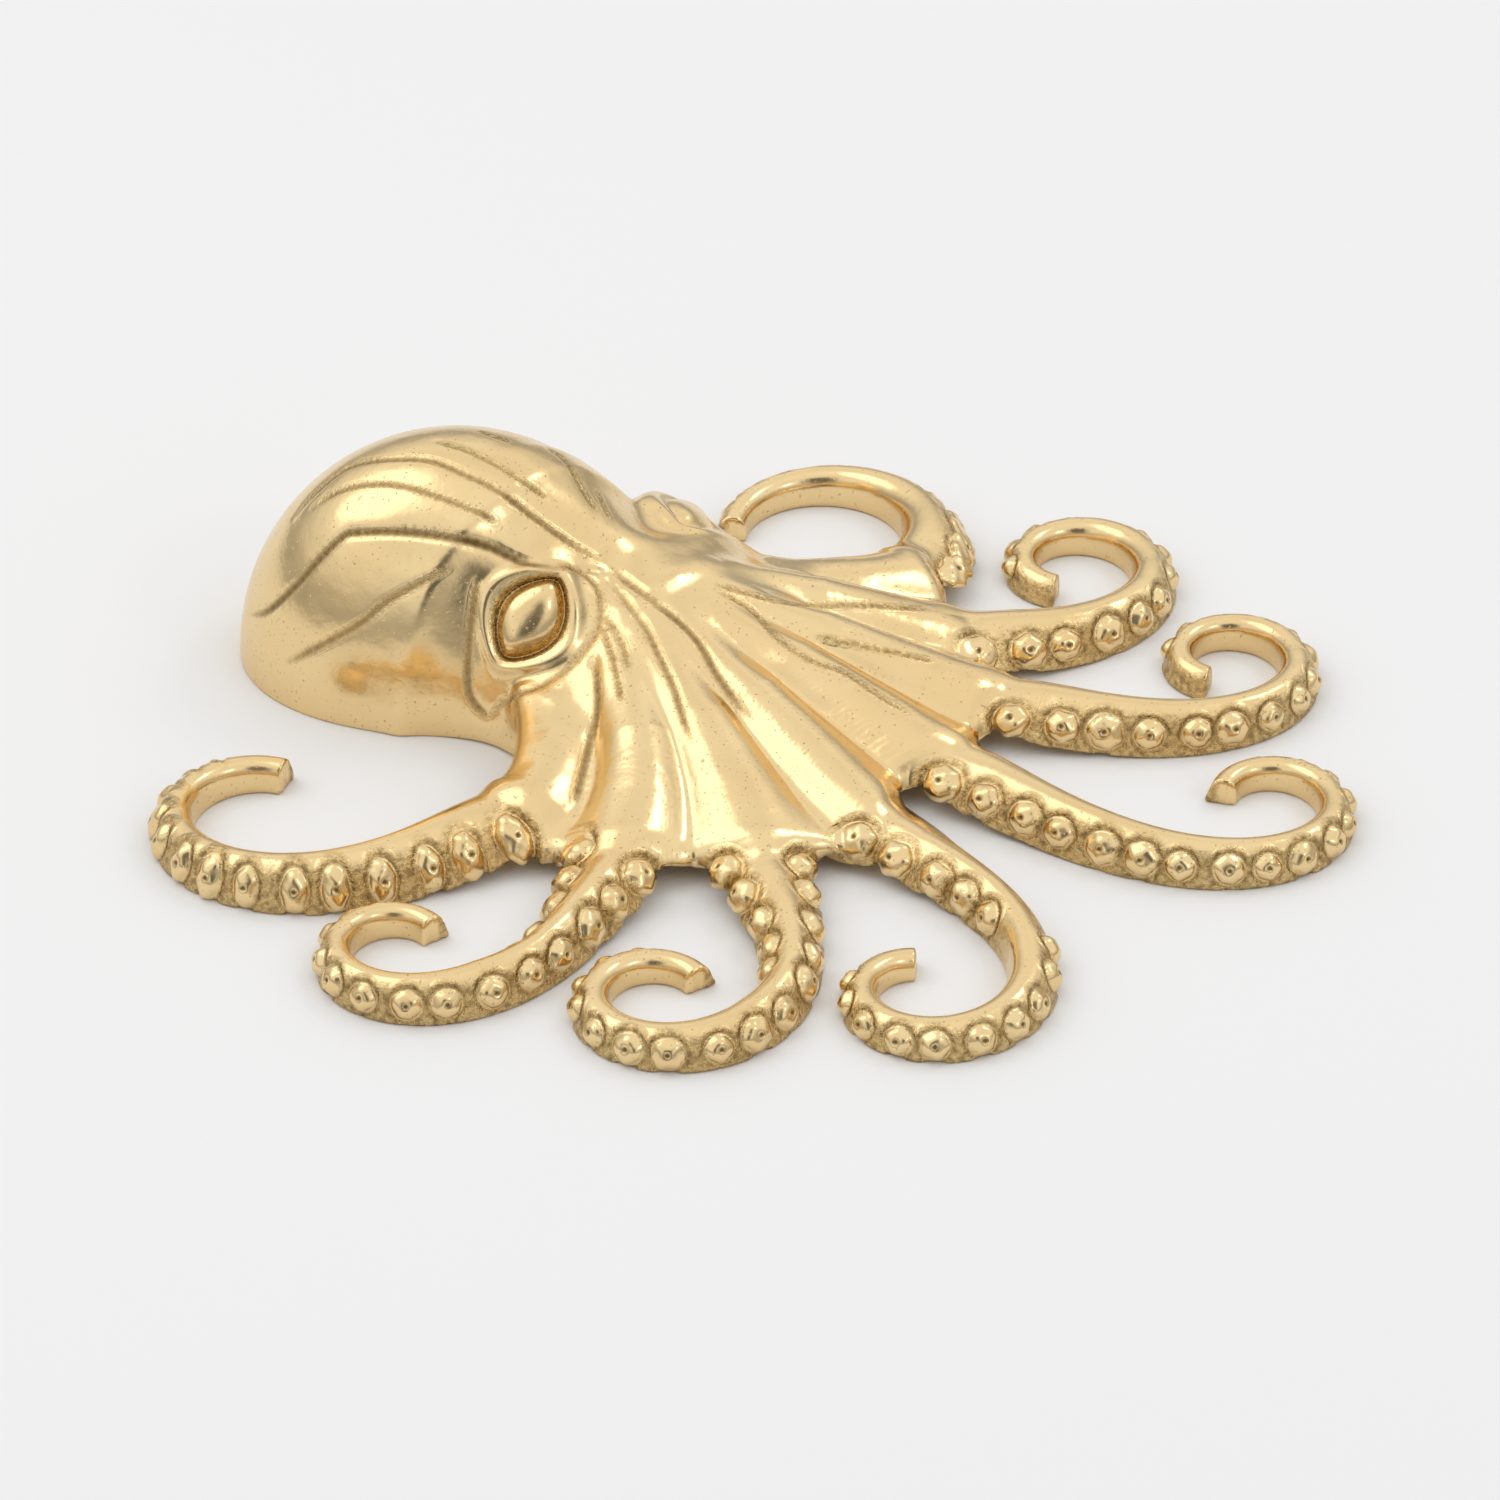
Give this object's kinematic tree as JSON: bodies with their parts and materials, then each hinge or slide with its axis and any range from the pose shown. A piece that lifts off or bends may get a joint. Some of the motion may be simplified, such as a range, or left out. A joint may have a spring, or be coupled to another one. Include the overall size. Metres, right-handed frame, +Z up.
{
  "type": "octopus figurine",
  "caption": "Cast brass octopus ornament that lies flat on a table, with a hollow ribbed mantle, raised eyes and arms that curl on the table.",
  "frame": {"origin": "middle of the bounding box on the table plane", "axes": "+Z up, arms towards -Y, mantle towards +Y, the near side of the picture towards -X"},
  "size_m": [0.1924, 0.182, 0.0404],
  "materials": {
    "polished_brass": "polished cast brass with matt pits and file marks in the recesses"
  },
  "bodies": {
    "root": {"mantle": "polished_brass", "head": "polished_brass", "web": "polished_brass", "right_eye": "polished_brass", "left_eye": "polished_brass", "arm_1": "polished_brass", "arm_2": "polished_brass", "arm_3": "polished_brass", "arm_4": "polished_brass", "arm_5": "polished_brass", "arm_6": "polished_brass", "arm_7": "polished_brass", "arm_8": "polished_brass"}
  },
  "joints": []
}
